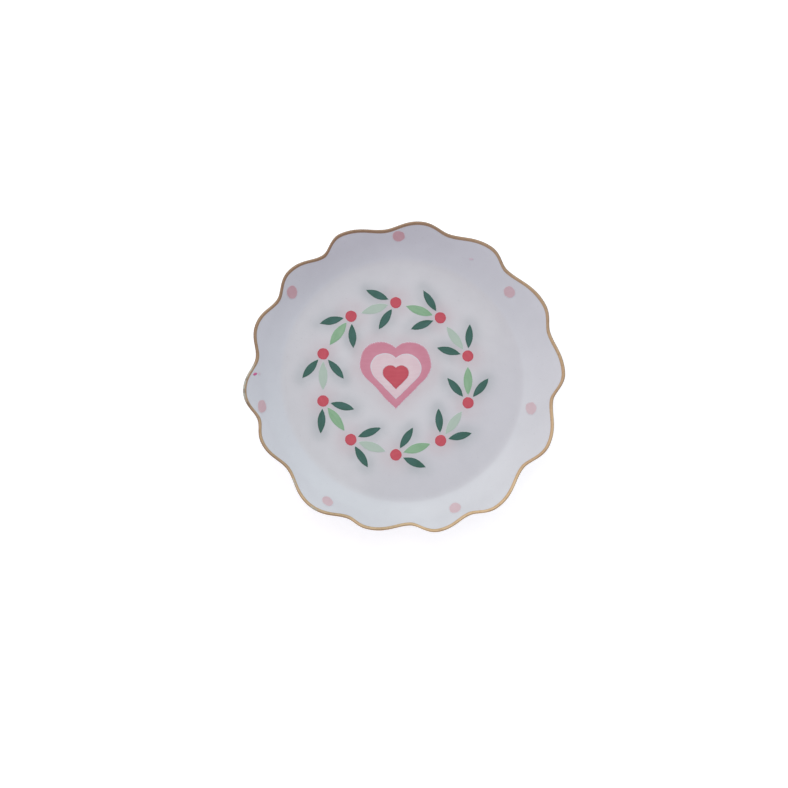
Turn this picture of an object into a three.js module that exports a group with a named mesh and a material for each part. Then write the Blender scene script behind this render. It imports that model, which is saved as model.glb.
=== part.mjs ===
// A small round enamelled tray with a scalloped, gilded edge. Millimetres, +Z up.
// The origin is the centre of the flat underside, which stands on the table.
// Pressed sheet steel carries fired enamel on both faces, a gilt edging that wraps the
// cut edge, and enamel colours printed on the white face.
import * as THREE from 'three';

const DEGREE = Math.PI / 180;

// Pressed form, measured on the upper face
const FLOOR_RADIUS = 56;             // flat floor, out to the start of the bend
const BEND_RADIUS = 10;              // tight bend at the foot of the wall
const BEND_ANGLE = 30 * DEGREE;      // slope of the wall where the tight bend ends
const FLARE_RADIUS = 37.5;           // slow curve of the lower wall, if the wall has room for it
const LIP_ANGLE = 45 * DEGREE;       // slope of the straight lip above it

// Scalloped edge, cut by hand: every crest and valley has its own direction and reach
const CREST_RADIUS = 76.1;           // plan radius of the cut edge at a middling crest, on the underside
const LOBE_DEPTH = 3.8;              // depth in plan of a middling valley
const VALLEY_SHARPNESS = 0.08;       // how much narrower the valleys are than the crests
const CREST_DIRECTIONS = [2, 28, 57, 84, 115, 139, 162, 187, 205, 234, 255, 282, 305, 335]; // degrees from +X
const CREST_OFFSETS = [0.7, 0.5, 0, -0.4, -0.5, -0.6, -0.3, 1.9, -0.1, 1.2, -1.3, -0.9, -0.2, 0]; // outward
const VALLEY_DIRECTIONS = [18, 47, 73, 98, 124, 149, 173, 197, 218, 248, 272, 295, 323, 352];
const VALLEY_OFFSETS = [1.6, 0.5, 0.9, 0.1, -1.3, -0.6, -0.3, 1.2, -0.7, 0.6, -1.8, 0.1, -0.9, 0.1];

// Layers of the sheet, from the underside up
const STEEL = 0.5;
const COAT = 0.15;                   // fired enamel on either face
const BOND_GAP = 0.02;               // keeps neighbouring layers from sharing a surface

// Gilt edging
const GILT = 0.1;                    // thickness over the enamel
const GILT_NOSE = 0.3;               // reach of the rounded edge beyond the sheet
const UPPER_LAP = 1.1;               // how far it laps onto the face
const UNDER_LAP = 0.65;              // how far it laps onto the back
const LAP_CLEARANCE = 0.4;           // straight lip left below the lap in the deepest valley

// Dots on the wall, set by hand
const PRINT = 0.08;                  // thickness of one printed colour
const DOT_WIDTH = 6.1;
const DOT_LENGTHS = [7, 8, 7.2, 6.7, 6.8, 6.9, 6.7];
const DOT_SLANTS = [40, -15, 40, 0, -25, -50, -25];          // degrees from straight up the wall
const DOT_DIRECTIONS = [92.5, 143, 192, 238, 291.5, 348, 40]; // degrees from +X
const DOT_MARGINS = [4.6, 6.5, 6.3, 6.9, 6.5, 9.5, 7];       // in plan, from the cut edge to the middle
const DOT_GAP = 0.04;                // clears the flats of the turned wall

// Wreath of sprigs and hearts printed on the floor
const PRINT_X = -3.5;                // the whole print sits a little off the tray's centre
const PRINT_Y = 0.8;
const SPRIG_COUNT = 10;
const WREATH_MARGIN = 19;            // from the ring of berries out to the edge of the floor
const BERRY_RADIUS = 2.9;
const LEAF_GAP = 0.5;                // bare enamel between a berry and its leaves
const TIP_GAP = 2;                   // bare enamel from a middle leaf's tip to the next berry
const SIDE_LEAF_LESS = 2;            // how much shorter a side leaf is than a middle leaf
const LEAF_SLIMNESS = 3.2;           // length of a leaf over its width
const LEAF_SPREAD = 40 * DEGREE;     // angle of the side leaves from the middle one
const HEART_SIDE = 21;               // straight side of the outermost heart
const HEART_BORDER = 3.3;            // shown along the straight sides of the heart laid on it

// Colours and finishes
const FACE_WHITE = '#dadbe1';
const BACK_WHITE = '#d6d8de';
const BARE_STEEL = '#85878b';
const GOLD = '#b58d5c';
const PALE_PINK = '#dcbac5';
const PINK = '#c4788f';
const RED = '#b5394b';
const DARK_GREEN = '#2f5f59';
const LIGHT_GREEN = '#7ba58d';
const ENAMEL_ROUGHNESS = 0.2;
const PRINT_ROUGHNESS = 0.3;
const STEEL_ROUGHNESS = 0.45;
const GILT_ROUGHNESS = 0.35;
const BARE_METAL = 1;
const NOT_METAL = 0;

// Fineness
const SEGMENTS = 126;                // nine to a scallop
const BEND_STEPS = 2;
const FLARE_STEPS = 2;
const NOSE_STEPS = 4;
const DOT_STEPS = 20;
const CURVE_STEPS = 7;

// Worked out from the sizes above
const FULL_TURN = 2 * Math.PI;
const SHEET = COAT + BOND_GAP + STEEL + BOND_GAP + COAT;
const LIP_DIRECTION = new THREE.Vector2(Math.cos(LIP_ANGLE), Math.sin(LIP_ANGLE));
const EDGE_TURNS = CREST_DIRECTIONS.flatMap((crest, number) => [
  { direction: crest * DEGREE, reach: CREST_OFFSETS[number] },
  { direction: VALLEY_DIRECTIONS[number] * DEGREE, reach: VALLEY_OFFSETS[number] - LOBE_DEPTH },
]);
const FLARE = Math.min(FLARE_RADIUS, widestFlare());
const BEND_CENTRE = new THREE.Vector2(FLOOR_RADIUS, SHEET + BEND_RADIUS);
const FLARE_CENTRE = new THREE.Vector2(
  BEND_CENTRE.x - (FLARE - BEND_RADIUS) * Math.sin(BEND_ANGLE),
  BEND_CENTRE.y + (FLARE - BEND_RADIUS) * Math.cos(BEND_ANGLE),
);
const LIP_LENGTH = (CREST_RADIUS - lipPoint(0, 0).x) / LIP_DIRECTION.x;
const WREATH_RADIUS = FLOOR_RADIUS - WREATH_MARGIN;
const BERRY_SPACING = 2 * WREATH_RADIUS * Math.sin(Math.PI / SPRIG_COUNT);
const MIDDLE_LEAF = BERRY_SPACING - 2 * BERRY_RADIUS - LEAF_GAP - TIP_GAP;
const SIDE_LEAF = MIDDLE_LEAF - SIDE_LEAF_LESS;

// How far the scalloped edge stands outside a plain circle of the crest radius.
// It runs smoothly from each crest to the valley after it, and from there to the next crest.
function edgeWave(direction) {
  const angle = (direction + FULL_TURN) % FULL_TURN;
  const after = EDGE_TURNS.findIndex((turn) => turn.direction > angle);
  const ahead = Math.max(after, 0);
  const to = EDGE_TURNS[ahead];
  const from = EDGE_TURNS.at(ahead - 1);
  const span = (to.direction - from.direction + FULL_TURN) % FULL_TURN;
  const gone = (angle - from.direction + FULL_TURN) % FULL_TURN;
  const phase = Math.PI * gone / span;
  const sharpening = VALLEY_SHARPNESS * Math.sin(phase) ** 2;
  const toCrest = ahead % 2 === 0;
  const share = (1 - Math.cos(phase)) / 2 + (toCrest ? sharpening : -sharpening);
  return THREE.MathUtils.lerp(from.reach, to.reach, share);
}

// The largest flare that leaves a straight lip for the scallops and the edging to end on.
function widestFlare() {
  let deepest = 0;
  for (let segment = 0; segment < SEGMENTS; segment += 1) {
    deepest = Math.max(deepest, -edgeWave(FULL_TURN * segment / SEGMENTS));
  }
  const lip = deepest + (Math.max(UPPER_LAP, UNDER_LAP) + LAP_CLEARANCE) * LIP_DIRECTION.x;
  const bend = BEND_RADIUS * Math.sin(BEND_ANGLE) + SHEET * Math.sin(LIP_ANGLE);
  const left = CREST_RADIUS - FLOOR_RADIUS - bend - lip;
  return left / (Math.sin(LIP_ANGLE) - Math.sin(BEND_ANGLE));
}

// Section of the tray: x is the distance from the axis and y the height.
// Heights in the sheet are counted from its underside, so SHEET is the upper face.
function arcPoint(centre, faceRadius, slope, height) {
  const radius = faceRadius + SHEET - height;
  return new THREE.Vector2(centre.x + radius * Math.sin(slope), centre.y - radius * Math.cos(slope));
}

function lipPoint(along, height) {
  const start = arcPoint(FLARE_CENTRE, FLARE, LIP_ANGLE, height);
  return start.addScaledVector(LIP_DIRECTION, along);
}

// One surface of the sheet, from the axis to the cut edge.
function sheetSection(height) {
  const points = [new THREE.Vector2(0, height)];
  for (let step = 0; step <= BEND_STEPS; step += 1) {
    points.push(arcPoint(BEND_CENTRE, BEND_RADIUS, BEND_ANGLE * step / BEND_STEPS, height));
  }
  for (let step = 1; step <= FLARE_STEPS; step += 1) {
    const slope = BEND_ANGLE + (LIP_ANGLE - BEND_ANGLE) * step / FLARE_STEPS;
    points.push(arcPoint(FLARE_CENTRE, FLARE, slope, height));
  }
  points.push(lipPoint(LIP_LENGTH, height));
  return points;
}

// Slides the points of a turned shape along the lip until its edge meets the scallops.
// The share says how much of that slide a point takes, by its place along the lip.
function followEdge(geometry, shareOfSlide) {
  const place = geometry.getAttribute('position');
  for (let index = 0; index < place.count; index += 1) {
    const angle = Math.atan2(place.getY(index), place.getX(index));
    const radius = Math.hypot(place.getX(index), place.getY(index));
    const fromFlare = new THREE.Vector2(radius, place.getZ(index)).sub(FLARE_CENTRE);
    const along = Math.max(0, fromFlare.dot(LIP_DIRECTION));
    const slide = edgeWave(angle) / LIP_DIRECTION.x * shareOfSlide(along);
    const moved = radius + slide * LIP_DIRECTION.x;
    place.setXYZ(
      index,
      moved * Math.cos(angle),
      moved * Math.sin(angle),
      place.getZ(index) + slide * LIP_DIRECTION.y,
    );
  }
  return geometry;
}

function turned(points) {
  const geometry = new THREE.LatheGeometry(points, SEGMENTS);
  geometry.rotateX(Math.PI / 2);
  return geometry;
}

// A layer of the sheet between two heights.
function sheetLayer(under, over) {
  const loop = [...sheetSection(under), ...sheetSection(over).reverse()];
  return followEdge(turned(loop), (along) => along / LIP_LENGTH);
}

// A band with a rounded nose, folded over the cut edge of all the layers.
function giltEdging() {
  const seatUpper = SHEET + BOND_GAP;
  const seatUnder = -BOND_GAP;
  const seatEdge = LIP_LENGTH + BOND_GAP;
  const middle = SHEET / 2;
  const halfThickness = middle + BOND_GAP + GILT;
  const loop = [
    lipPoint(LIP_LENGTH - UPPER_LAP, seatUpper),
    lipPoint(seatEdge, seatUpper),
    lipPoint(seatEdge, seatUnder),
    lipPoint(LIP_LENGTH - UNDER_LAP, seatUnder),
    lipPoint(LIP_LENGTH - UNDER_LAP, seatUnder - GILT),
  ];
  for (let step = 0; step <= NOSE_STEPS; step += 1) {
    const turn = Math.PI * step / NOSE_STEPS;
    const reach = seatEdge + GILT_NOSE * Math.sin(turn);
    loop.push(lipPoint(reach, middle - halfThickness * Math.cos(turn)));
  }
  loop.push(lipPoint(LIP_LENGTH - UPPER_LAP, seatUpper + GILT));
  loop.push(loop[0].clone());
  return followEdge(turned(loop), () => 1);
}

// Distance along a section from the axis to a given radius.
function alongTo(section, radius) {
  let along = 0;
  for (let index = 1; index < section.length; index += 1) {
    const from = section[index - 1];
    const to = section[index];
    if (radius <= to.x) {
      return along + from.distanceTo(to) * (radius - from.x) / (to.x - from.x);
    }
    along += from.distanceTo(to);
  }
  return along;
}

// The place that far along a section, lifted square off it.
function liftedPoint(section, along, lift) {
  let left = along;
  let index = 1;
  while (index < section.length - 1 && left > section[index - 1].distanceTo(section[index])) {
    left -= section[index - 1].distanceTo(section[index]);
    index += 1;
  }
  const run = section[index].clone().sub(section[index - 1]).normalize();
  const square = new THREE.Vector2(-run.y, run.x);
  return section[index - 1].clone().addScaledVector(run, left).addScaledVector(square, lift);
}

// An oval dot that lies on the wall and bends with it.
function rimDot(direction, margin, length, slant) {
  const face = sheetSection(SHEET);
  const angle = direction * DEGREE;
  const radius = CREST_RADIUS + edgeWave(angle) - margin;
  const along = alongTo(face, radius);
  const geometry = new THREE.CylinderGeometry(DOT_WIDTH / 2, DOT_WIDTH / 2, PRINT, DOT_STEPS);
  geometry.scale(length / DOT_WIDTH, 1, 1);
  geometry.rotateY(slant * DEGREE);
  geometry.translate(0, PRINT / 2 + DOT_GAP, 0);
  const place = geometry.getAttribute('position');
  for (let index = 0; index < place.count; index += 1) {
    const spot = liftedPoint(face, along + place.getX(index), place.getY(index));
    const sideways = angle - place.getZ(index) / radius;
    place.setXYZ(index, spot.x * Math.cos(sideways), spot.x * Math.sin(sideways), spot.y);
  }
  return geometry;
}

// Flat printed shapes, laid on the floor of the tray.
function printed(shape, layer) {
  const geometry = new THREE.ExtrudeGeometry(shape, {
    depth: PRINT,
    bevelEnabled: false,
    curveSegments: CURVE_STEPS,
  });
  geometry.translate(0, 0, SHEET + BOND_GAP + layer * (PRINT + BOND_GAP));
  return geometry;
}

function berryShape() {
  const shape = new THREE.Shape();
  shape.absarc(0, 0, BERRY_RADIUS, 0, FULL_TURN, false);
  return shape;
}

function leafShape(length) {
  const width = length / LEAF_SLIMNESS;
  const shape = new THREE.Shape();
  shape.moveTo(0, 0);
  shape.quadraticCurveTo(length / 2, -width, length, 0);
  shape.quadraticCurveTo(length / 2, width, 0, 0);
  return shape;
}

// A square standing on its corner with a half circle on each of its upper sides.
function heartShape(side) {
  const corner = side / Math.SQRT2;
  const quarter = Math.PI / 4;
  const shape = new THREE.Shape();
  shape.moveTo(0, -corner);
  shape.lineTo(corner, 0);
  shape.absarc(corner / 2, corner / 2, side / 2, -quarter, Math.PI - quarter, false);
  shape.absarc(-corner / 2, corner / 2, side / 2, quarter, Math.PI + quarter, false);
  shape.closePath();
  return shape;
}

// Takes a shape drawn about its berry to its place in the wreath, pointing at the next berry.
function inWreath(geometry, number) {
  geometry.rotateZ(Math.PI / SPRIG_COUNT);
  geometry.translate(0, -WREATH_RADIUS, 0);
  geometry.rotateZ(FULL_TURN * number / SPRIG_COUNT);
  geometry.translate(PRINT_X, PRINT_Y, 0);
  return geometry;
}

function sprigLeaf(length, spread) {
  const geometry = printed(leafShape(length), 0);
  geometry.translate(BERRY_RADIUS + LEAF_GAP, 0, 0);
  geometry.rotateZ(spread);
  return geometry;
}

const tray = new THREE.Group();
tray.name = 'enamel_tray';

function addPiece(name, geometry, color, roughness, metalness) {
  const mesh = new THREE.Mesh(geometry, new THREE.MeshStandardMaterial({ color, roughness, metalness }));
  mesh.name = name;
  tray.add(mesh);
}

const steelUnder = COAT + BOND_GAP;
const steelOver = steelUnder + STEEL;
addPiece('enamel_back', sheetLayer(0, COAT), BACK_WHITE, ENAMEL_ROUGHNESS, NOT_METAL);
addPiece('steel_blank', sheetLayer(steelUnder, steelOver), BARE_STEEL, STEEL_ROUGHNESS, BARE_METAL);
addPiece('enamel_face', sheetLayer(steelOver + BOND_GAP, SHEET), FACE_WHITE, ENAMEL_ROUGHNESS, NOT_METAL);
addPiece('gilt_edging', giltEdging(), GOLD, GILT_ROUGHNESS, BARE_METAL);

DOT_DIRECTIONS.forEach((direction, number) => {
  const geometry = rimDot(direction, DOT_MARGINS[number], DOT_LENGTHS[number], DOT_SLANTS[number]);
  addPiece(`rim_dot_${number + 1}`, geometry, PALE_PINK, PRINT_ROUGHNESS, NOT_METAL);
});

for (let number = 0; number < SPRIG_COUNT; number += 1) {
  const pieces = [
    ['berry', printed(berryShape(), 0), RED],
    ['leaf_outer', sprigLeaf(SIDE_LEAF, -LEAF_SPREAD), DARK_GREEN],
    ['leaf_middle', sprigLeaf(MIDDLE_LEAF, 0), LIGHT_GREEN],
    ['leaf_inner', sprigLeaf(SIDE_LEAF, LEAF_SPREAD), DARK_GREEN],
  ];
  pieces.forEach(([part, geometry, colour]) => {
    const name = `sprig_${number + 1}_${part}`;
    addPiece(name, inWreath(geometry, number), colour, PRINT_ROUGHNESS, NOT_METAL);
  });
}

const hearts = [
  ['heart_outer', PINK],
  ['heart_middle', PALE_PINK],
  ['heart_inner', RED],
];
hearts.forEach(([name, colour], layer) => {
  const geometry = printed(heartShape(HEART_SIDE - 2 * HEART_BORDER * layer), layer);
  geometry.translate(PRINT_X, PRINT_Y, 0);
  addPiece(name, geometry, colour, PRINT_ROUGHNESS, NOT_METAL);
});

export default tray;
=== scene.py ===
import math

import bmesh
import bpy
from mathutils import Matrix, Vector, noise
from mathutils.kdtree import KDTree


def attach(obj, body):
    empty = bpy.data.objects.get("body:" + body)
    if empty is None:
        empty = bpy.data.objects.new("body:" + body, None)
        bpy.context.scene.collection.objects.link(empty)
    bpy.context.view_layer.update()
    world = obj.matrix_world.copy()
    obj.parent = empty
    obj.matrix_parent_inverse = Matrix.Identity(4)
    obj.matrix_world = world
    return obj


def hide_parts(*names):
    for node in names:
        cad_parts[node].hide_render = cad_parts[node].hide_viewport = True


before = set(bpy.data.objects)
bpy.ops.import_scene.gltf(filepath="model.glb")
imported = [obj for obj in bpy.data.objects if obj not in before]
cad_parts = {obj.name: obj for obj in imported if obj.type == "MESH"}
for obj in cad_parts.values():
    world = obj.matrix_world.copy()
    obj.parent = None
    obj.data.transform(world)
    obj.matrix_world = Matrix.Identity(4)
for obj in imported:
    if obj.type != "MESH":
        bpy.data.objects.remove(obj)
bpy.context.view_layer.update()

MM = 0.001
DEGREE = math.pi / 180
FULL_TURN = 2 * math.pi

# Pressed form, as the solids have it
FLOOR_RADIUS = 56 * MM
BEND_RADIUS = 10 * MM
BEND_ANGLE = 30 * DEGREE
FLARE_RADIUS = 37.5 * MM
LIP_ANGLE = 45 * DEGREE

# Scalloped edge: every crest and valley has its own direction in degrees and reach in millimetres
CREST_RADIUS = 76.1 * MM
LOBE_DEPTH = 3.8 * MM
VALLEY_SHARPNESS = 0.08
CREST_DIRECTIONS = [2, 28, 57, 84, 115, 139, 162, 187, 205, 234, 255, 282, 305, 335]
CREST_OFFSETS = [0.7, 0.5, 0, -0.4, -0.5, -0.6, -0.3, 1.9, -0.1, 1.2, -1.3, -0.9, -0.2, 0]
VALLEY_DIRECTIONS = [18, 47, 73, 98, 124, 149, 173, 197, 218, 248, 272, 295, 323, 352]
VALLEY_OFFSETS = [1.6, 0.5, 0.9, 0.1, -1.3, -0.6, -0.3, 1.2, -0.7, 0.6, -1.8, 0.1, -0.9, 0.1]
EDGE_TUCK = 0.16 * MM       # keeps the finely turned edge inside the solids' coarser one

# Layers of the sheet
STEEL = 0.5 * MM
COAT = 0.15 * MM
BOND_GAP = 0.02 * MM
STEEL_TOP = COAT + BOND_GAP + STEEL
SHEET = COAT + BOND_GAP + STEEL + BOND_GAP + COAT

# Gilt edging
GILT = 0.1 * MM
GILT_NOSE = 0.3 * MM
UPPER_LAP = 1.1 * MM
UNDER_LAP = 0.65 * MM
# Share of a lap in from the cut edge, and share of the gilt's thickness there
GILT_CROWN = [(1, 0.15), (0.93, 0.6), (0.75, 0.9), (0.4, 1)]
LAP_WANDER = 0.15 * MM      # how far the brushed inner edge of the gold line strays
LAP_WAVES = 4.5             # a larger value gives more strays to a turn
LAP_RIPPLES = (1, 2.3)      # slow and fine strays
LAP_SPREAD = 0.12 * MM      # how much wider than its solid the line was brushed

# Wear of the gold line: directions and spreads in degrees, and how hard it is rubbed
RUBBED_STRETCHES = [(183.2, 11, 1.0), (224, 4, 0.9), (235, 3.5, 0.9)]
RUB_STEEPNESS = 4           # how suddenly a rubbed stretch ends
RUB_REACH = 0.12 * MM       # how far the rubbing comes in over the edge
RUB_FADE = 5                # how suddenly it ends towards the underside
CHIPS = [(181.5, 0.8), (186, 0.9), (190.8, 1.2)]
CHIP_STEEPNESS = 2
NOSE_WEAR_AND_SHADE = SHEET / 3       # how far below the face the edge's wear and painted shade are full
SHADED_SIDE_DIRECTION = 112 * DEGREE    # the side where the gold line is painted darkest, as shade
SHADED_SIDE_FALL = 0.75         # how quickly the painted shade fades away from there

# Dots and stray flecks on the wall
PRINT = 0.08 * MM
DOT_GAP = 0.04 * MM
DOT_WIDTH = 6.1 * MM
DOT_LENGTHS = [7, 8, 7.2, 6.7, 6.8, 6.9, 6.7]               # millimetres
DOT_SLANTS = [40, -15, 40, 0, -25, -50, -25]                # degrees from straight up the wall
DOT_DIRECTIONS = [92.5, 143, 192, 238, 291.5, 348, 40]      # degrees
DOT_MARGINS = [4.6, 6.5, 6.3, 6.9, 6.5, 9.5, 7]             # millimetres in plan, from the cut edge
DOT_WASHES = [0, 0.06, 0.2, 0.32, 0.34, 0.4, 0.24]          # how far each dot is thinned
FLECK_WIDTH = 1.3 * MM
# Direction, margin, length, slant and wash, measured as the dots' are
FLECKS = [(179.5, 3.4, 3.1, 19, 0), (179.1, 5.3, 1.6, -60, 0.8), (61, 8.4, 2.5, -65, 0.8)]

# Wreath and hearts on the floor
PRINT_BASE = SHEET + BOND_GAP
PRINT_CENTRE = Vector((-3.5, 0.8)) * MM
SPRIG_COUNT = 10
WREATH_MARGIN = 19 * MM
BERRY_RADIUS = 2.9 * MM
LEAF_GAP = 0.5 * MM
TIP_GAP = 2 * MM
SIDE_LEAF_LESS = 2 * MM
LEAF_SLIMNESS = 3.2
LEAF_SPREAD = 40 * DEGREE
HEART_SIDE = 21 * MM
HEART_BORDER = 3.3 * MM
WREATH_RADIUS = FLOOR_RADIUS - WREATH_MARGIN
BERRY_SPACING = 2 * WREATH_RADIUS * math.sin(math.pi / SPRIG_COUNT)
MIDDLE_LEAF = BERRY_SPACING - 2 * BERRY_RADIUS - LEAF_GAP - TIP_GAP
SIDE_LEAF = MIDDLE_LEAF - SIDE_LEAF_LESS
PALE_LEAF_WASH = 0.45       # every other light leaf is thinned
GREEN_BLOOM = 3.6 * MM      # how far a haze of colour spreads on the enamel about the dark greens
PINK_BLOOM = 5 * MM         # and about the reds and pinks

# A painted pat of colour: share of the way to its border, and share of its thickness there
PAT_TOP = [(0, 1), (0.35, 1), (0.65, 1), (0.86, 0.97), (0.95, 0.75), (0.99, 0.4)]
PAT_UNDERSIDE = [(1, 0), (0.6, 0), (0, 0)]
BORDER_SHARE = 0.98         # points further out than this make its border
HAND_WOBBLE = 0.045         # share of its radius that a painted outline strays
DOT_WOBBLE = 0.11           # the dots stray more
HAND_RIPPLES = (1.4, 3.7)   # slow and fine strays
SEED_STEP = 3.7             # keeps the strays of one seed away from the next one's
DOT_SEED = 1
BERRY_SEED = 20
LIGHT_LEAF_SEED = 40
DARK_LEAF_SEEDS = (40, 80)  # on either side of the middle leaf
HEART_SEED = 100
FLECK_SEED = 120

# Fineness of the meshes
TURN_STEPS = 392
FLOOR_STEPS = 56            # fine enough to hold the haze
PLAIN_FLOOR_STEPS = 4
BEND_STEPS = 8
FLARE_STEPS = 10
LIP_STEPS = 8
NOSE_STEPS = 14
OUTLINE_STEPS = 96
HALVINGS = 40               # of the search for a place up the wall
MERGE_DISTANCE = 1e-4 * MM
CREASE_ANGLE = 50 * DEGREE

FLARE_ANGLE = LIP_ANGLE - BEND_ANGLE
BEND_LENGTH = BEND_RADIUS * BEND_ANGLE
FLARE_LENGTH = FLARE_RADIUS * FLARE_ANGLE
BEND_CENTRE = Vector((FLOOR_RADIUS, SHEET + BEND_RADIUS))
SQUARE_TO_FLARE = Vector((-math.sin(BEND_ANGLE), math.cos(BEND_ANGLE)))
FLARE_CENTRE = BEND_CENTRE + (FLARE_RADIUS - BEND_RADIUS) * SQUARE_TO_FLARE
LIP_DIRECTION = Vector((math.cos(LIP_ANGLE), math.sin(LIP_ANGLE)))
SQUARE_TO_LIP = Vector((-LIP_DIRECTION.y, LIP_DIRECTION.x))


# Section of the tray

def arc_point(centre, face_radius, slope, height):
    """Place in the section (distance from the axis, height) on a bend, at a height in the sheet."""
    radius = face_radius + SHEET - height
    return centre + radius * Vector((math.sin(slope), -math.cos(slope)))


def lip_point(along, height):
    """Place in the section on the straight lip."""
    return arc_point(FLARE_CENTRE, FLARE_RADIUS, LIP_ANGLE, height) + along * LIP_DIRECTION


LIP_LENGTH = (CREST_RADIUS - lip_point(0, 0).x) / math.cos(LIP_ANGLE)


def sheet_section(height, floor_steps=PLAIN_FLOOR_STEPS):
    """One surface of the sheet, from the axis to the cut edge."""
    floor = [Vector((FLOOR_RADIUS * step / floor_steps, height)) for step in range(floor_steps)]
    bend = [arc_point(BEND_CENTRE, BEND_RADIUS, BEND_ANGLE * step / BEND_STEPS, height)
            for step in range(BEND_STEPS + 1)]
    flare = [arc_point(FLARE_CENTRE, FLARE_RADIUS, BEND_ANGLE + FLARE_ANGLE * step / FLARE_STEPS, height)
             for step in range(1, FLARE_STEPS + 1)]
    lip = [lip_point(LIP_LENGTH * step / LIP_STEPS, height) for step in range(1, LIP_STEPS + 1)]
    return floor + bend + flare + lip


CRESTS = [(direction * DEGREE, offset * MM)
          for direction, offset in zip(CREST_DIRECTIONS, CREST_OFFSETS)]
VALLEYS = [(direction * DEGREE, offset * MM - LOBE_DEPTH)
           for direction, offset in zip(VALLEY_DIRECTIONS, VALLEY_OFFSETS)]
EDGE_TURNS = [turn for pair in zip(CRESTS, VALLEYS) for turn in pair]


def edge_wave(direction):
    """How far the scalloped edge stands outside a plain circle of the crest radius."""
    angle = direction % FULL_TURN
    ahead = sum(turn <= angle for turn, _ in EDGE_TURNS) % len(EDGE_TURNS)
    from_turn, from_reach = EDGE_TURNS[ahead - 1]
    to_turn, to_reach = EDGE_TURNS[ahead]
    phase = math.pi * ((angle - from_turn) % FULL_TURN) / ((to_turn - from_turn) % FULL_TURN)
    sharpening = VALLEY_SHARPNESS * math.sin(phase) ** 2
    to_crest = ahead % 2 == 0
    share = (1 - math.cos(phase)) / 2 + (sharpening if to_crest else -sharpening)
    return from_reach + share * (to_reach - from_reach) - EDGE_TUCK


def spin_section(points, steps, closed):
    """Turns a section about the upright axis into a surface."""
    bm = bmesh.new()
    corners = [bm.verts.new((point.x, 0, point.y)) for point in points]
    runs = [bm.edges.new(pair) for pair in zip(corners, corners[1:])]
    if closed:
        runs.append(bm.edges.new((corners[-1], corners[0])))
    bmesh.ops.spin(bm, geom=corners + runs, cent=(0, 0, 0), axis=(0, 0, 1),
                   angle=FULL_TURN, steps=steps, use_merge=True)
    bmesh.ops.remove_doubles(bm, verts=bm.verts, dist=MERGE_DISTANCE)
    bmesh.ops.recalc_face_normals(bm, faces=bm.faces)
    return bm


def follow_edge(bm, slide_of):
    """Slides the points of a turned shape along the lip; slide_of gives each point's slide."""
    for vert in bm.verts:
        radius = math.hypot(vert.co.x, vert.co.y)
        if radius < FLOOR_RADIUS:
            continue
        angle = math.atan2(vert.co.y, vert.co.x)
        from_flare = Vector((radius, vert.co.z)) - FLARE_CENTRE
        along = max(0, from_flare.dot(LIP_DIRECTION))
        slide = slide_of(along, angle)
        radius += slide * LIP_DIRECTION.x
        height = vert.co.z + slide * LIP_DIRECTION.y
        vert.co = (radius * math.cos(angle), radius * math.sin(angle), height)


def sheet_slide(along, angle):
    """The whole wall above the flare stretches to meet the scalloped edge."""
    return edge_wave(angle) / math.cos(LIP_ANGLE) * along / LIP_LENGTH


# Pieces

def make_piece(bm, name, material, slot, nodes):
    """Puts a finished mesh in the scene, on the tray's one body."""
    for face in bm.faces:
        face.smooth = True
    mesh = bpy.data.meshes.new(name)
    bm.to_mesh(mesh)
    bm.free()
    mesh.set_sharp_from_angle(angle=CREASE_ANGLE)
    mesh.materials.append(material)
    piece = bpy.data.objects.new(name, mesh)
    bpy.context.scene.collection.objects.link(piece)
    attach(piece, "root")
    if nodes:
        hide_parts(*nodes)


def sheet_layer(under, over, floor_steps=PLAIN_FLOOR_STEPS):
    """A closed coat between two heights of the sheet."""
    points = sheet_section(under) + sheet_section(over, floor_steps)[::-1]
    bm = spin_section(points, TURN_STEPS, closed=False)
    follow_edge(bm, sheet_slide)
    return bm


def mark_bloom(bm, name, borders, spread):
    """Marks each point of a coat with how near it lies to the borders of some painted shapes."""
    tree = KDTree(len(borders))
    for number, spot in enumerate(borders):
        tree.insert(spot, number)
    tree.balance()
    layer = bm.verts.layers.float.new(name)
    for vert in bm.verts:
        distance = tree.find(vert.co)[2]
        vert[layer] = math.exp(-(distance / spread) ** 2)


def gilt_section():
    """The gold line: a thin film over the edge, crowned, with a rounded nose."""
    upper = SHEET + BOND_GAP
    under = -BOND_GAP
    edge = LIP_LENGTH + BOND_GAP
    middle = SHEET / 2
    half = middle + BOND_GAP + GILT
    outside = [lip_point(LIP_LENGTH - share * UNDER_LAP, under - thickness * GILT)
               for share, thickness in GILT_CROWN]
    for step in range(NOSE_STEPS + 1):
        turn = math.pi * step / NOSE_STEPS
        outside.append(lip_point(edge + GILT_NOSE * math.sin(turn), middle - half * math.cos(turn)))
    outside += [lip_point(LIP_LENGTH - share * UPPER_LAP, upper + thickness * GILT)
                for share, thickness in reversed(GILT_CROWN)]
    inside = [
        lip_point(LIP_LENGTH - UPPER_LAP, upper),
        lip_point(LIP_LENGTH - UPPER_LAP / 2, upper),
        lip_point(edge, upper),
        lip_point(edge, under),
        lip_point(LIP_LENGTH - UNDER_LAP / 2, under),
        lip_point(LIP_LENGTH - UNDER_LAP, under),
    ]
    return outside + inside


def clamp(value):
    """Holds a value between 0 and 1."""
    return max(0, min(1, value))


def brush_stray(spot, slow, fine):
    """How far a brushed border strays: a slow wander, and a finer one of half its size."""
    return noise.noise(slow * spot) + noise.noise(fine * spot) / 2


def gilt_slide(along, angle):
    """The whole band follows the edge, and its laps wander as a brushed line does."""
    lap = clamp((LIP_LENGTH - along) / UPPER_LAP)
    spot = Vector((math.cos(angle), math.sin(angle), 0)) * LAP_WAVES
    wander = LAP_WANDER * brush_stray(spot, *LAP_RIPPLES)
    return edge_wave(angle) / math.cos(LIP_ANGLE) + lap * (wander - LAP_SPREAD)


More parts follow.
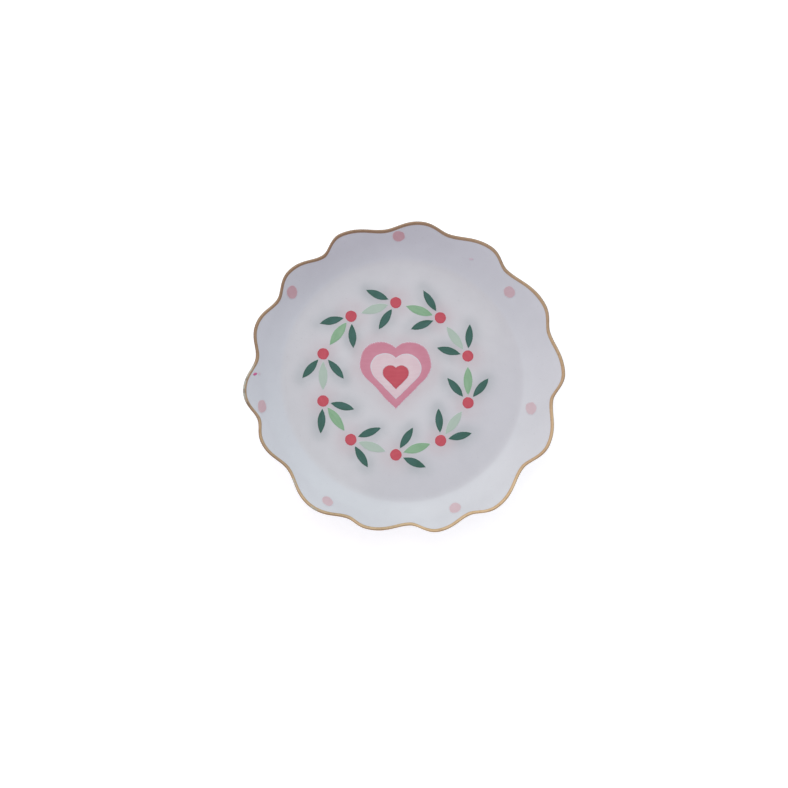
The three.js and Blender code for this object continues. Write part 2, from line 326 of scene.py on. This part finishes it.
def rim_mark(angle, way, spread, steepness):
    """Falls from 1 at one direction of the rim to nothing well past its spread."""
    return math.exp(-(math.remainder(angle / DEGREE - way, 360) / spread) ** steepness)


def gold_band():
    """The gold line, marked with its edge, worn and painted as shade, with one side painted darker as
    shade, and where use has rubbed and chipped it.
    """
    band = spin_section(gilt_section(), TURN_STEPS, closed=True)
    rub_layer = band.verts.layers.float.new("rub")
    nose_layer = band.verts.layers.float.new("nose")
    shaded_side_layer = band.verts.layers.float.new("shaded_side")
    chip_layer = band.verts.layers.float.new("chip")
    cut_corner = lip_point(LIP_LENGTH, SHEET)
    for vert in band.verts:
        angle = math.atan2(vert.co.y, vert.co.x)
        from_corner = Vector((math.hypot(vert.co.x, vert.co.y), vert.co.z)) - cut_corner
        outward = from_corner.dot(LIP_DIRECTION)
        below = -from_corner.dot(SQUARE_TO_LIP)
        rubbed = max(hard * rim_mark(angle, way, spread, RUB_STEEPNESS)
                     for way, spread, hard in RUBBED_STRETCHES)
        chipped = max(rim_mark(angle, way, spread, CHIP_STEEPNESS) for way, spread in CHIPS)
        on_edge = clamp(1 + outward / RUB_REACH) * clamp(RUB_FADE - RUB_FADE * below / (SHEET + GILT))
        vert[rub_layer] = on_edge * rubbed
        vert[chip_layer] = on_edge * chipped
        # the edge's brown: worn gold and painted shade, full a little below the face
        vert[nose_layer] = clamp(below / NOSE_WEAR_AND_SHADE) if outward > 0 else 0
        # painted shade: strongest on one side of the rim, fading round it
        vert[shaded_side_layer] = ((1 + math.cos(angle - SHADED_SIDE_DIRECTION)) / 2) ** SHADED_SIDE_FALL
    follow_edge(band, gilt_slide)
    return band


def wall_place(along, angle, lift):
    """A place on the face of the wall, that far up it from the floor's edge and lifted square off it."""
    height = SHEET + lift
    if along < BEND_LENGTH:
        spot = arc_point(BEND_CENTRE, BEND_RADIUS, along / BEND_RADIUS, height)
    elif along < BEND_LENGTH + FLARE_LENGTH:
        slope = BEND_ANGLE + (along - BEND_LENGTH) / FLARE_RADIUS
        spot = arc_point(FLARE_CENTRE, FLARE_RADIUS, slope, height)
    else:
        spot = lip_point(along - BEND_LENGTH - FLARE_LENGTH, height)
    return Vector((spot.x * math.cos(angle), spot.x * math.sin(angle), spot.y))


def along_to(radius):
    """How far up the face of the wall a plan radius lies."""
    low, high = 0, 2 * (CREST_RADIUS - FLOOR_RADIUS)
    for _ in range(HALVINGS):
        middle = (low + high) / 2
        if wall_place(middle, 0, 0).x < radius:
            low = middle
        else:
            high = middle
    return low


# Painted shapes: each starts as a low round pat of colour, which is then pulled to its outline

def pat_of_colour(bm, outline, place, seed, wash=0, wobble=HAND_WOBBLE):
    """Adds one pat and hands back the places of its border.

    outline gives the border by direction, and place takes a flat spot and a height to the tray.
    """
    profile = [Vector((share, thickness * PRINT)) for share, thickness in PAT_TOP + PAT_UNDERSIDE]
    pat = spin_section(profile, OUTLINE_STEPS, closed=False)
    edge_layer = pat.verts.layers.float.new("edge")
    paint_layer = pat.verts.layers.float_vector.new("paint")
    wash_layer = pat.verts.layers.float.new("wash")
    for vert in pat.verts:
        share = math.hypot(vert.co.x, vert.co.y)
        angle = math.atan2(vert.co.y, vert.co.x)
        ring = Vector((math.cos(angle), math.sin(angle), seed * SEED_STEP))
        stray = wobble * brush_stray(ring, *HAND_RIPPLES)
        flat = outline(angle) * share * (1 + stray)
        vert[edge_layer] = share
        vert[wash_layer] = wash
        vert[paint_layer] = (flat.x / MM, flat.y / MM, seed)
        vert.co = place(flat, vert.co.z)
    border = [vert.co.copy() for vert in pat.verts if vert[edge_layer] > BORDER_SHARE]
    mesh = bpy.data.meshes.new("pat")
    pat.to_mesh(mesh)
    pat.free()
    bm.from_mesh(mesh)
    bpy.data.meshes.remove(mesh)
    return border


def oval_outline(length, width):
    """An oval about the origin, its length along x."""
    return lambda angle: Vector((length / 2 * math.cos(angle), width / 2 * math.sin(angle)))


def leaf_outline(length):
    """A circle pinched to a point at both ends, its middle at the origin."""
    width = length / LEAF_SLIMNESS

    def outline(angle):
        across = math.sin(angle)
        return Vector((length / 2 * math.cos(angle), width / 2 * across * abs(across)))
    return outline


def heart_outline(side):
    """A square standing on its corner with a half circle on each of its upper sides."""
    corner = side / math.sqrt(2)
    lobe = Vector((corner / 2, corner / 2))

    def outline(angle):
        way = Vector((abs(math.cos(angle)), math.sin(angle)))
        if way.y < 0:
            reach = corner / (way.x - way.y)
        else:
            reach = 2 * way.dot(lobe)
        return Vector((math.cos(angle), math.sin(angle))) * reach
    return outline


def on_floor(layer):
    """Takes a flat spot to the middle of the print, in one of its layers."""
    base = PRINT_BASE + layer * (PRINT + BOND_GAP)

    def place(flat, height):
        spot = flat + PRINT_CENTRE
        return Vector((spot.x, spot.y, base + height))
    return place


def in_wreath(number, spread, reach):
    """Takes a flat spot of one sprig to the wreath.

    reach runs out from the berry, and spread turns it from the way to the next berry.
    """
    step = FULL_TURN / SPRIG_COUNT
    to_leaf = Matrix.Rotation(step / 2 + spread, 2)
    to_ring = Matrix.Rotation(step * number, 2)

    def place(flat, height):
        spot = to_leaf @ (flat + Vector((reach, 0)))
        spot = to_ring @ (spot - Vector((0, WREATH_RADIUS))) + PRINT_CENTRE
        return Vector((spot.x, spot.y, PRINT_BASE + height))
    return place


def on_wall(direction, margin, slant):
    """Takes a flat spot to the wall, in from the cut edge: x runs up the wall and y round it."""
    radius = CREST_RADIUS + edge_wave(direction) + EDGE_TUCK - margin
    along = along_to(radius)
    turn = Matrix.Rotation(slant, 2)

    def place(flat, height):
        spot = turn @ flat
        return wall_place(along + spot.x, direction + spot.y / radius, DOT_GAP + height)
    return place


# Colours

def srgb(red, green, blue):
    """A colour as a picture shows it, taken by the sRGB curve to the shader's own linear scale."""
    def linear(part):
        part = part / 255
        return part / 12.92 if part <= 0.04045 else ((part + 0.055) / 1.055) ** 2.4
    return (linear(red), linear(green), linear(blue), 1.0)


FLOOR_LIGHT = srgb(221, 221, 225)
FLOOR_DEEP = srgb(215, 215, 219)
# painted bluish-lilac tint of reflected light on the wall
REFLECTION_TINTED_WALL_LIGHT = srgb(221, 223, 229)
REFLECTION_TINTED_WALL_DEEP = srgb(215, 217, 223)
BACK_LIGHT = srgb(220, 221, 226)
BACK_DEEP = srgb(210, 212, 218)
PIT_GREY = srgb(150, 148, 150)
PRINT_GROUND = srgb(219, 220, 226)      # the enamel under thin colour
GREEN_HAZE = srgb(186, 191, 195)
PINK_HAZE = srgb(212, 200, 205)
FRONT_PAINTED_SHADE = (0.94, 0.94, 0.96, 1)     # share of its tone that the floor keeps at its front right, under painted shade

GOLD_DEEP = srgb(217, 188, 149)
GOLD_LIGHT = srgb(226, 199, 161)
# painted shade on one side of the gold line
GOLD_PAINTED_SHADE = srgb(181, 152, 124)
GOLD_SPECK = srgb(160, 122, 84)
# brown of the edge: worn gold and painted shade
GOLD_WORN_AND_SHADED = srgb(134, 107, 82)
GOLD_RUBBED = srgb(182, 184, 173)
GOLD_CHIPPED = srgb(126, 108, 88)

STEEL_DARK = srgb(118, 120, 124)
STEEL_LIGHT = srgb(152, 154, 158)

# Finishes
ENAMEL_IOR = 1.52
PEEL_STRENGTH = 0.05            # faint orange peel of the enamel
PEEL_DEPTH = 0.2 * MM
COLOUR_IOR = 1.5
STREAK_STRENGTH = 0.12          # brush marks in the colours
STREAK_DEPTH = 0.05 * MM
WALL_TONE_RISE = 0.8 * MM       # height over which the floor's tone turns to the wall's painted tint of reflected light
PAINTED_SHADE_START = 10 * MM           # the floor's painted shade grows between these, by x less y
PAINTED_SHADE_END = 60 * MM
HAZE_STRENGTH = 0.8
STROKE_STEP = 9.3               # keeps the streaks of one seed away from the next one's
STEEL_GRAIN = (60, 2400, 60)    # the rolled lines are close together across the sheet


# Nodes

def new_material(name):
    """A material with its node tree and its shader."""
    material = bpy.data.materials.new(name)
    material.use_nodes = True
    tree = material.node_tree
    return material, tree, tree.nodes["Principled BSDF"]


def add_node(tree, kind, **settings):
    node = tree.nodes.new(kind)
    for key, value in settings.items():
        setattr(node, key, value)
    return node


def object_place(tree):
    """The place on the piece, which is also its place on the tray."""
    return add_node(tree, "ShaderNodeTexCoord").outputs["Object"]


def noise_node(tree, vector, scale, detail, roughness=0.5):
    node = add_node(tree, "ShaderNodeTexNoise")
    node.inputs["Scale"].default_value = scale
    node.inputs["Detail"].default_value = detail
    node.inputs["Roughness"].default_value = roughness
    tree.links.new(vector, node.inputs["Vector"])
    return node.outputs["Fac"]


def ramp_node(tree, value, low, high, low_to=0.0, high_to=1.0, kind="SMOOTHSTEP"):
    """Takes the range from low to high onto another, and holds the value at its ends."""
    node = add_node(tree, "ShaderNodeMapRange", interpolation_type=kind)
    node.inputs["From Min"].default_value = low
    node.inputs["From Max"].default_value = high
    node.inputs["To Min"].default_value = low_to
    node.inputs["To Max"].default_value = high_to
    tree.links.new(value, node.inputs["Value"])
    return node.outputs["Result"]


def math_node(tree, operation, first, second):
    node = add_node(tree, "ShaderNodeMath", operation=operation)
    for socket, value in zip(node.inputs, (first, second)):
        if isinstance(value, (int, float)):
            socket.default_value = value
        else:
            tree.links.new(value, socket)
    return node.outputs[0]


def plus(tree, first, second):
    return math_node(tree, "ADD", first, second)


def minus(tree, first, second):
    return math_node(tree, "SUBTRACT", first, second)


def times(tree, first, second):
    return math_node(tree, "MULTIPLY", first, second)


def mark_node(tree, name):
    """The value of a mark that the mesh carries."""
    return add_node(tree, "ShaderNodeAttribute", attribute_name=name).outputs["Fac"]


def mix_node(tree, factor, first, second, blend="MIX"):
    node = add_node(tree, "ShaderNodeMix", data_type="RGBA", blend_type=blend)
    for name, value in (("Factor_Float", factor), ("A_Color", first), ("B_Color", second)):
        socket = next(s for s in node.inputs if s.identifier == name)
        if isinstance(value, (int, float, tuple)):
            socket.default_value = value
        else:
            tree.links.new(value, socket)
    return next(s for s in node.outputs if s.identifier == "Result_Color")


def bump_into(tree, shader, height, strength, distance):
    bump = add_node(tree, "ShaderNodeBump")
    bump.inputs["Strength"].default_value = strength
    bump.inputs["Distance"].default_value = distance
    tree.links.new(height, bump.inputs["Height"])
    tree.links.new(bump.outputs["Normal"], shader.inputs["Normal"])


def new_group(name, inputs, outputs):
    """An empty node group with its input and output nodes."""
    group = bpy.data.node_groups.new(name, "ShaderNodeTree")
    for label, kind, value in inputs:
        socket = group.interface.new_socket(label, in_out="INPUT", socket_type=kind)
        if value is not None:
            socket.default_value = value
    for label, kind in outputs:
        group.interface.new_socket(label, in_out="OUTPUT", socket_type=kind)
    return group, group.nodes.new("NodeGroupInput"), group.nodes.new("NodeGroupOutput")


def place_group(tree, group, **values):
    """Puts a node group in a material, with its own values."""
    node = add_node(tree, "ShaderNodeGroup", node_tree=group)
    for label, value in values.items():
        if isinstance(value, (int, float, tuple)):
            node.inputs[label].default_value = value
        else:
            tree.links.new(value, node.inputs[label])
    return node


# Materials

FINISH_OUTPUTS = [
    ("Color", "NodeSocketColor"), ("Roughness", "NodeSocketFloat"), ("Height", "NodeSocketFloat")]


def fired_glaze_group():
    """Slow drifts of tone, fine pits and a faint orange peel, as on fired enamel."""
    group, given, made = new_group(
        "fired glaze",
        [("Vector", "NodeSocketVector", None), ("Light", "NodeSocketColor", None),
         ("Deep", "NodeSocketColor", None), ("Smooth", "NodeSocketFloat", 0.16),
         ("Dull", "NodeSocketFloat", 0.26)],
        FINISH_OUTPUTS)
    vector = given.outputs["Vector"]
    drift = noise_node(group, vector, scale=28, detail=3)
    mottle = noise_node(group, vector, scale=160, detail=4, roughness=0.6)
    grain = noise_node(group, vector, scale=900, detail=1)
    ripple = noise_node(group, vector, scale=240, detail=2)
    tone = plus(group, times(group, drift, 0.7), times(group, mottle, 0.3))
    tone = ramp_node(group, tone, 0.32, 0.68)
    colour = mix_node(group, tone, given.outputs["Deep"], given.outputs["Light"])
    pits = ramp_node(group, grain, 0.7, 0.78, 0.0, 0.1)
    group.links.new(mix_node(group, pits, colour, PIT_GREY), made.inputs["Color"])
    dullness = minus(group, given.outputs["Dull"], given.outputs["Smooth"])
    dullness = times(group, ramp_node(group, mottle, 0.3, 0.7), dullness)
    group.links.new(plus(group, given.outputs["Smooth"], dullness), made.inputs["Roughness"])
    group.links.new(plus(group, ripple, times(group, drift, 2.0)), made.inputs["Height"])
    return group


def brushed_colour_group():
    """Enamel colour laid on with a brush: streaks along the stroke, pooled edges and a soft outline."""
    group, given, made = new_group(
        "brushed colour",
        [("Paint", "NodeSocketVector", None), ("Edge", "NodeSocketFloat", 0.0),
         ("Wash", "NodeSocketFloat", 0.0), ("Thin", "NodeSocketColor", None),
         ("Full", "NodeSocketColor", None), ("Ground", "NodeSocketColor", PRINT_GROUND),
         ("Softness", "NodeSocketFloat", 0.12), ("Pooling", "NodeSocketFloat", 0.4),
         ("Along", "NodeSocketFloat", 0.12), ("Across", "NodeSocketFloat", 0.8)],
        FINISH_OUTPUTS)
    paint = given.outputs["Paint"]
    edge = given.outputs["Edge"]
    ground = given.outputs["Ground"]
    softness = given.outputs["Softness"]
    split = add_node(group, "ShaderNodeSeparateXYZ")
    group.links.new(paint, split.inputs[0])
    stroke = add_node(group, "ShaderNodeCombineXYZ")
    stretches = {"X": given.outputs["Along"], "Y": given.outputs["Across"], "Z": STROKE_STEP}
    for axis, stretch in stretches.items():
        group.links.new(times(group, split.outputs[axis], stretch), stroke.inputs[axis])
    streak = noise_node(group, stroke.outputs[0], scale=1.0, detail=4, roughness=0.6)
    blot = noise_node(group, paint, scale=0.22, detail=3, roughness=0.55)
    speck = noise_node(group, paint, scale=2.6, detail=3, roughness=0.6)
    body = plus(group, times(group, streak, 0.6), times(group, blot, 0.4))
    body = ramp_node(group, body, 0.25, 0.75)
    pooled = times(group, ramp_node(group, edge, 0.62, 0.93), given.outputs["Pooling"])
    body = math_node(group, "MINIMUM", plus(group, body, pooled), 1.0)
    colour = mix_node(group, body, given.outputs["Thin"], given.outputs["Full"])
    colour = mix_node(group, given.outputs["Wash"], colour, ground)
    ragged = plus(group, edge, times(group, minus(group, speck, 0.5), 0.12))
    past_start = minus(group, ragged, minus(group, 1.0, softness))
    fade = ramp_node(group, math_node(group, "DIVIDE", past_start, softness), 0.0, 1.0)
    group.links.new(mix_node(group, fade, colour, ground), made.inputs["Color"])
    group.links.new(ramp_node(group, speck, 0.3, 0.7, 0.3, 0.46), made.inputs["Roughness"])
    group.links.new(plus(group, streak, times(group, speck, 0.4)), made.inputs["Height"])
    return group


glaze = fired_glaze_group()
brushwork = brushed_colour_group()


def join_finish(tree, shader, finish, colour, ior, strength, distance):
    """Joins a colour, and a group's gloss and relief, to the shader."""
    tree.links.new(colour, shader.inputs["Base Color"])
    tree.links.new(finish.outputs["Roughness"], shader.inputs["Roughness"])
    shader.inputs["IOR"].default_value = ior
    bump_into(tree, shader, finish.outputs["Height"], strength, distance)


def back_glaze():
    """Plain white enamel of the underside."""
    material, tree, shader = new_material("back enamel")
    finish = place_group(tree, glaze, Vector=object_place(tree), Light=BACK_LIGHT, Deep=BACK_DEEP)
    join_finish(tree, shader, finish, finish.outputs["Color"], ENAMEL_IOR, PEEL_STRENGTH, PEEL_DEPTH)
    return material


def face_glaze():
    """White enamel, neutral on the floor, with a painted lilac tint of reflected light on the wall.

    The floor is painted greyer to the front right as shade, with a faint haze of colour about the print.
    """
    material, tree, shader = new_material("face enamel")
    where = object_place(tree)
    split = add_node(tree, "ShaderNodeSeparateXYZ")
    tree.links.new(where, split.inputs[0])
    # where the wall's painted reflection tint takes over from the floor's tone
    wall = ramp_node(tree, split.outputs["Z"], SHEET, SHEET + WALL_TONE_RISE)
    light = mix_node(tree, wall, FLOOR_LIGHT, REFLECTION_TINTED_WALL_LIGHT)
    deep = mix_node(tree, wall, FLOOR_DEEP, REFLECTION_TINTED_WALL_DEEP)
    finish = place_group(tree, glaze, Vector=where, Light=light, Deep=deep)
    # painted shade: the floor darkens towards the front right
    front_right = minus(tree, split.outputs["X"], split.outputs["Y"])
    painted_shade = ramp_node(tree, front_right, PAINTED_SHADE_START, PAINTED_SHADE_END)
    painted_shade = times(tree, painted_shade, ramp_node(tree, wall, 0.0, 1.0, 1.0, 0.0))
    colour = mix_node(tree, painted_shade, finish.outputs["Color"], FRONT_PAINTED_SHADE, "MULTIPLY")
    patchy = ramp_node(tree, noise_node(tree, where, scale=90, detail=3), 0.3, 0.7, 0.45, 1.0)
    for mark, haze in (("green_bloom", GREEN_HAZE), ("pink_bloom", PINK_HAZE)):
        amount = times(tree, mark_node(tree, mark), patchy)
        colour = mix_node(tree, times(tree, amount, HAZE_STRENGTH), colour, haze)
    join_finish(tree, shader, finish, colour, ENAMEL_IOR, PEEL_STRENGTH, PEEL_DEPTH)
    return material


def enamel_colour(name, thin, full, **values):
    """One printed or painted colour."""
    material, tree, shader = new_material(name)
    paint = add_node(tree, "ShaderNodeAttribute", attribute_name="paint")
    finish = place_group(tree, brushwork, Paint=paint.outputs["Vector"], Edge=mark_node(tree, "edge"),
                         Wash=mark_node(tree, "wash"), Thin=thin, Full=full, **values)
    join_finish(tree, shader, finish, finish.outputs["Color"], COLOUR_IOR, STREAK_STRENGTH, STREAK_DEPTH)
    return material


def worn_and_shaded_gilt():
    """A brushed gold line: pale gold on the face and brown on the edge, where it is worn thin and painted
    as shade.

    It is painted browner towards one side as shade, and rubbed bare and chipped in places.
    """
    material, tree, shader = new_material("worn gilt")
    where = object_place(tree)
    cloud = noise_node(tree, where, scale=95, detail=4, roughness=0.6)
    fine = noise_node(tree, where, scale=700, detail=3, roughness=0.6)
    # painted shade towards one side of the rim
    shaded_side = mark_node(tree, "shaded_side")
    gold = mix_node(tree, ramp_node(tree, cloud, 0.35, 0.65), GOLD_DEEP, GOLD_LIGHT)
    gold = mix_node(tree, shaded_side, gold, GOLD_PAINTED_SHADE)
    gold = mix_node(tree, ramp_node(tree, fine, 0.56, 0.72, 0.0, 0.3), gold, GOLD_SPECK)
    # the edge's brown: worn thin and painted shade, deepest on the shaded side
    worn_and_shaded = plus(tree, mark_node(tree, "nose"), times(tree, fine, 0.4))
    worn_and_shaded = ramp_node(tree, worn_and_shaded, 0.25, 0.9)
    worn_and_shaded = times(tree, worn_and_shaded, ramp_node(tree, shaded_side, 0.0, 1.0, 0.35, 1.0, kind="LINEAR"))
    gold = mix_node(tree, worn_and_shaded, gold, GOLD_WORN_AND_SHADED)
    bare = plus(tree, mark_node(tree, "rub"), times(tree, fine, 0.9))
    bare = ramp_node(tree, bare, 1.15, 1.5)
    gold = mix_node(tree, bare, gold, GOLD_RUBBED)
    chips = ramp_node(tree, mark_node(tree, "chip"), 0.2, 0.9, 0.0, 0.65)
    tree.links.new(mix_node(tree, chips, gold, GOLD_CHIPPED), shader.inputs["Base Color"])
    shine = ramp_node(tree, bare, 0.0, 1.0, 0.85, 0.0)
    shine = times(tree, shine, ramp_node(tree, worn_and_shaded, 0.0, 1.0, 1.0, 0.4))
    tree.links.new(shine, shader.inputs["Metallic"])
    tree.links.new(ramp_node(tree, fine, 0.3, 0.7, 0.36, 0.52), shader.inputs["Roughness"])
    bump_into(tree, shader, fine, strength=0.12, distance=0.05 * MM)
    return material


def mill_steel():
    """Pressed sheet with a fine rolled grain, hidden between the coats."""
    material, tree, shader = new_material("mill steel")
    grain = add_node(tree, "ShaderNodeMapping")
    grain.inputs["Scale"].default_value = STEEL_GRAIN
    tree.links.new(object_place(tree), grain.inputs["Vector"])
    lines = noise_node(tree, grain.outputs["Vector"], scale=1.0, detail=4, roughness=0.6)
    tree.links.new(mix_node(tree, lines, STEEL_DARK, STEEL_LIGHT), shader.inputs["Base Color"])
    tree.links.new(ramp_node(tree, lines, 0.3, 0.7, 0.35, 0.55), shader.inputs["Roughness"])
    shader.inputs["Metallic"].default_value = 1.0
    bump_into(tree, shader, lines, strength=0.15, distance=0.02 * MM)
    return material


face_enamel = face_glaze()
back_enamel = back_glaze()
gilt = worn_and_shaded_gilt()
steel = mill_steel()
dot_pink = enamel_colour("pale pink dots", thin=srgb(216, 176, 184), full=srgb(208, 162, 170),
                         Softness=0.17, Pooling=0.2)
stray_violet = enamel_colour("stray violet", thin=srgb(216, 112, 162), full=srgb(210, 92, 148),
                             Softness=0.1, Pooling=0.2)
heart_pink = enamel_colour("pink heart", thin=srgb(218, 148, 167), full=srgb(211, 136, 156),
                           Softness=0.04, Pooling=0.4)
heart_pale = enamel_colour("pale heart", thin=srgb(236, 216, 221), full=srgb(230, 204, 211),
                           Softness=0.06, Pooling=0.3)
fruit_red = enamel_colour("berry red", thin=srgb(210, 88, 102), full=srgb(199, 74, 90),
                          Softness=0.08, Pooling=0.4)
leaf_dark = enamel_colour("dark green leaf", thin=srgb(64, 110, 104), full=srgb(42, 94, 78),
                          Softness=0.1, Pooling=0.5)
leaf_light = enamel_colour("light green leaf", thin=srgb(154, 192, 158), full=srgb(134, 178, 138),
                           Softness=0.1, Pooling=0.4)

# Dots and stray flecks
dots = bmesh.new()
for number, direction in enumerate(DOT_DIRECTIONS):
    place = on_wall(direction * DEGREE, DOT_MARGINS[number] * MM, DOT_SLANTS[number] * DEGREE)
    oval = oval_outline(DOT_LENGTHS[number] * MM, DOT_WIDTH)
    pat_of_colour(dots, oval, place, DOT_SEED + number, DOT_WASHES[number], DOT_WOBBLE)
dot_nodes = [f"rim_dot_{n + 1}" for n in range(len(DOT_DIRECTIONS))]
make_piece(dots, "wall_dots", dot_pink, "pale_pink_print", dot_nodes)

flecks = bmesh.new()
for number, (direction, margin, length, slant, wash) in enumerate(FLECKS):
    place = on_wall(direction * DEGREE, margin * MM, slant * DEGREE)
    oval = oval_outline(length * MM, FLECK_WIDTH)
    pat_of_colour(flecks, oval, place, FLECK_SEED + number, wash)
make_piece(flecks, "stray_flecks", stray_violet, "pink_print", [])

# Wreath
berries = bmesh.new()
dark_leaves = bmesh.new()
light_leaves = bmesh.new()
pink_borders = []
green_borders = []
from_berry = BERRY_RADIUS + LEAF_GAP
round_berry = oval_outline(2 * BERRY_RADIUS, 2 * BERRY_RADIUS)
for number in range(SPRIG_COUNT):
    pink_borders += pat_of_colour(berries, round_berry, in_wreath(number, 0, 0), BERRY_SEED + number)
    place = in_wreath(number, 0, from_berry + MIDDLE_LEAF / 2)
    wash = PALE_LEAF_WASH * (number % 2)
    pat_of_colour(light_leaves, leaf_outline(MIDDLE_LEAF), place, LIGHT_LEAF_SEED + number, wash)
    for side, first_seed in zip((-1, 1), DARK_LEAF_SEEDS):
        place = in_wreath(number, side * LEAF_SPREAD, from_berry + SIDE_LEAF / 2)
        green_borders += pat_of_colour(dark_leaves, leaf_outline(SIDE_LEAF), place, first_seed + number)
sprigs = [f"sprig_{n + 1}" for n in range(SPRIG_COUNT)]
light_nodes = [f"{s}_leaf_middle" for s in sprigs]
dark_nodes = [f"{s}_leaf_{side}" for s in sprigs for side in ("outer", "inner")]
make_piece(berries, "wreath_berries", fruit_red, "red_print", [f"{s}_berry" for s in sprigs])
make_piece(light_leaves, "wreath_light_leaves", leaf_light, "light_green_print", light_nodes)
make_piece(dark_leaves, "wreath_dark_leaves", leaf_dark, "dark_green_print", dark_nodes)

# Hearts, each laid on the one before
hearts = [
    ("heart_outer", heart_pink, "pink_print"),
    ("heart_middle", heart_pale, "pale_pink_print"),
    ("heart_inner", fruit_red, "red_print"),
]
for layer, (name, material, slot) in enumerate(hearts):
    heart = bmesh.new()
    outline = heart_outline(HEART_SIDE - 2 * HEART_BORDER * layer)
    pink_borders += pat_of_colour(heart, outline, on_floor(layer), HEART_SEED + layer)
    make_piece(heart, f"painted_{name}", material, slot, [name])

# Sheet, its two coats and its gold line
face = sheet_layer(STEEL_TOP + BOND_GAP, SHEET, FLOOR_STEPS)
mark_bloom(face, "green_bloom", green_borders, GREEN_BLOOM)
mark_bloom(face, "pink_bloom", pink_borders, PINK_BLOOM)
make_piece(face, "face_coat", face_enamel, "face_enamel", ["enamel_face"])
make_piece(sheet_layer(0, COAT), "back_coat", back_enamel, "back_enamel", ["enamel_back"])
make_piece(gold_band(), "gold_line", gilt, "gilt", ["gilt_edging"])
make_piece(sheet_layer(COAT + BOND_GAP, STEEL_TOP), "steel_sheet", steel, "steel", ["steel_blank"])

# Stage: pale floor, soft light from the back left, camera above and a little to the front left
STAGE_HALF = 1.5                    # metres
sweep = bmesh.new()
bmesh.ops.create_grid(sweep, x_segments=1, y_segments=1, size=STAGE_HALF)
floor_mesh = bpy.data.meshes.new("pale_floor")
sweep.to_mesh(floor_mesh)
sweep.free()
floor = bpy.data.objects.new("pale_floor", floor_mesh)
bpy.context.scene.collection.objects.link(floor)
floor_material, _, floor_shader = new_material("pale floor")
floor_shader.inputs["Base Color"].default_value = (0.86, 0.86, 0.86, 1)
floor_shader.inputs["Roughness"].default_value = 0.9
floor_shader.inputs["Emission Color"].default_value = (1, 1, 1, 1)
floor_shader.inputs["Emission Strength"].default_value = 0.4
floor_mesh.materials.append(floor_material)


def soft_light(name, place, aim, size, power, colour):
    """A round lamp, turned to what it lights."""
    lamp = bpy.data.lights.new(name, "AREA")
    lamp.shape = "DISK"
    lamp.size = size
    lamp.energy = power
    lamp.color = colour
    holder = bpy.data.objects.new(name, lamp)
    holder.location = place
    holder.rotation_mode = "QUATERNION"
    holder.rotation_quaternion = (Vector(aim) - Vector(place)).to_track_quat("-Z", "Y")
    bpy.context.scene.collection.objects.link(holder)


def lit_room(even, rightward, backward, cornerward):
    """A room's light: an even part, and parts that change to the right, to the back and to two corners."""
    world = bpy.data.worlds.new("room")
    bpy.context.scene.world = world
    world.use_nodes = True
    tree = world.node_tree
    coords = add_node(tree, "ShaderNodeTexCoord")
    split = add_node(tree, "ShaderNodeSeparateXYZ")
    tree.links.new(coords.outputs["Generated"], split.inputs[0])
    to_right = split.outputs["X"]
    to_back = split.outputs["Y"]
    to_corner = times(tree, to_right, to_back)
    light = add_node(tree, "ShaderNodeRGB").outputs["Color"]
    light.default_value = (*even, 1)
    for amount, part in ((to_right, rightward), (to_back, backward), (to_corner, cornerward)):
        grown = add_node(tree, "ShaderNodeVectorMath", operation="MULTIPLY_ADD")
        tree.links.new(amount, grown.inputs[0])
        grown.inputs[1].default_value = part
        tree.links.new(light, grown.inputs[2])
        light = grown.outputs["Vector"]
    tree.links.new(light, tree.nodes["Background"].inputs["Color"])


soft_light("window", place=(-0.46, 1.41, 1.0), aim=(0, 0, 0), size=1.6, power=3.1, colour=(0.98, 0.98, 1.0))
lit_room(even=(0.780, 0.777, 0.800), rightward=(-0.129, -0.090, -0.074),
         backward=(0.284, 0.332, 0.278), cornerward=(0.23, 0.37, 0.40))

scene = bpy.context.scene
scene.view_settings.view_transform = "Standard"
scene.view_settings.look = "None"

PICTURE = 788                       # pixels each way
PIXEL = 0.4766 * MM                 # at the height of the rim
RIM_CENTRE_PIXEL = (405.9, 377.2)
RIM_HEIGHT = 12.3 * MM
TILT = 9.3 * DEGREE                 # from straight above
TURN = 225 * DEGREE                 # the way it leans, from +X

camera_data = bpy.data.cameras.new("camera")
camera_data.lens = 85
camera_data.sensor_width = 36
camera_data.clip_start = 0.05
camera_data.clip_end = 20
camera = bpy.data.objects.new("camera", camera_data)
scene.collection.objects.link(camera)
scene.camera = camera
back = Vector((math.sin(TILT) * math.cos(TURN), math.sin(TILT) * math.sin(TURN), math.cos(TILT)))
right = Vector((0, 1, 0)).cross(back).normalized()
up = back.cross(right)
distance = PICTURE * PIXEL * camera_data.lens / camera_data.sensor_width
middle = Vector((0, 0, RIM_HEIGHT))
middle -= right * (RIM_CENTRE_PIXEL[0] - PICTURE / 2) * PIXEL
middle += up * (RIM_CENTRE_PIXEL[1] - PICTURE / 2) * PIXEL
camera.rotation_mode = "QUATERNION"
camera.rotation_quaternion = Matrix((right, up, back)).transposed().to_quaternion()
camera.location = middle + back * distance
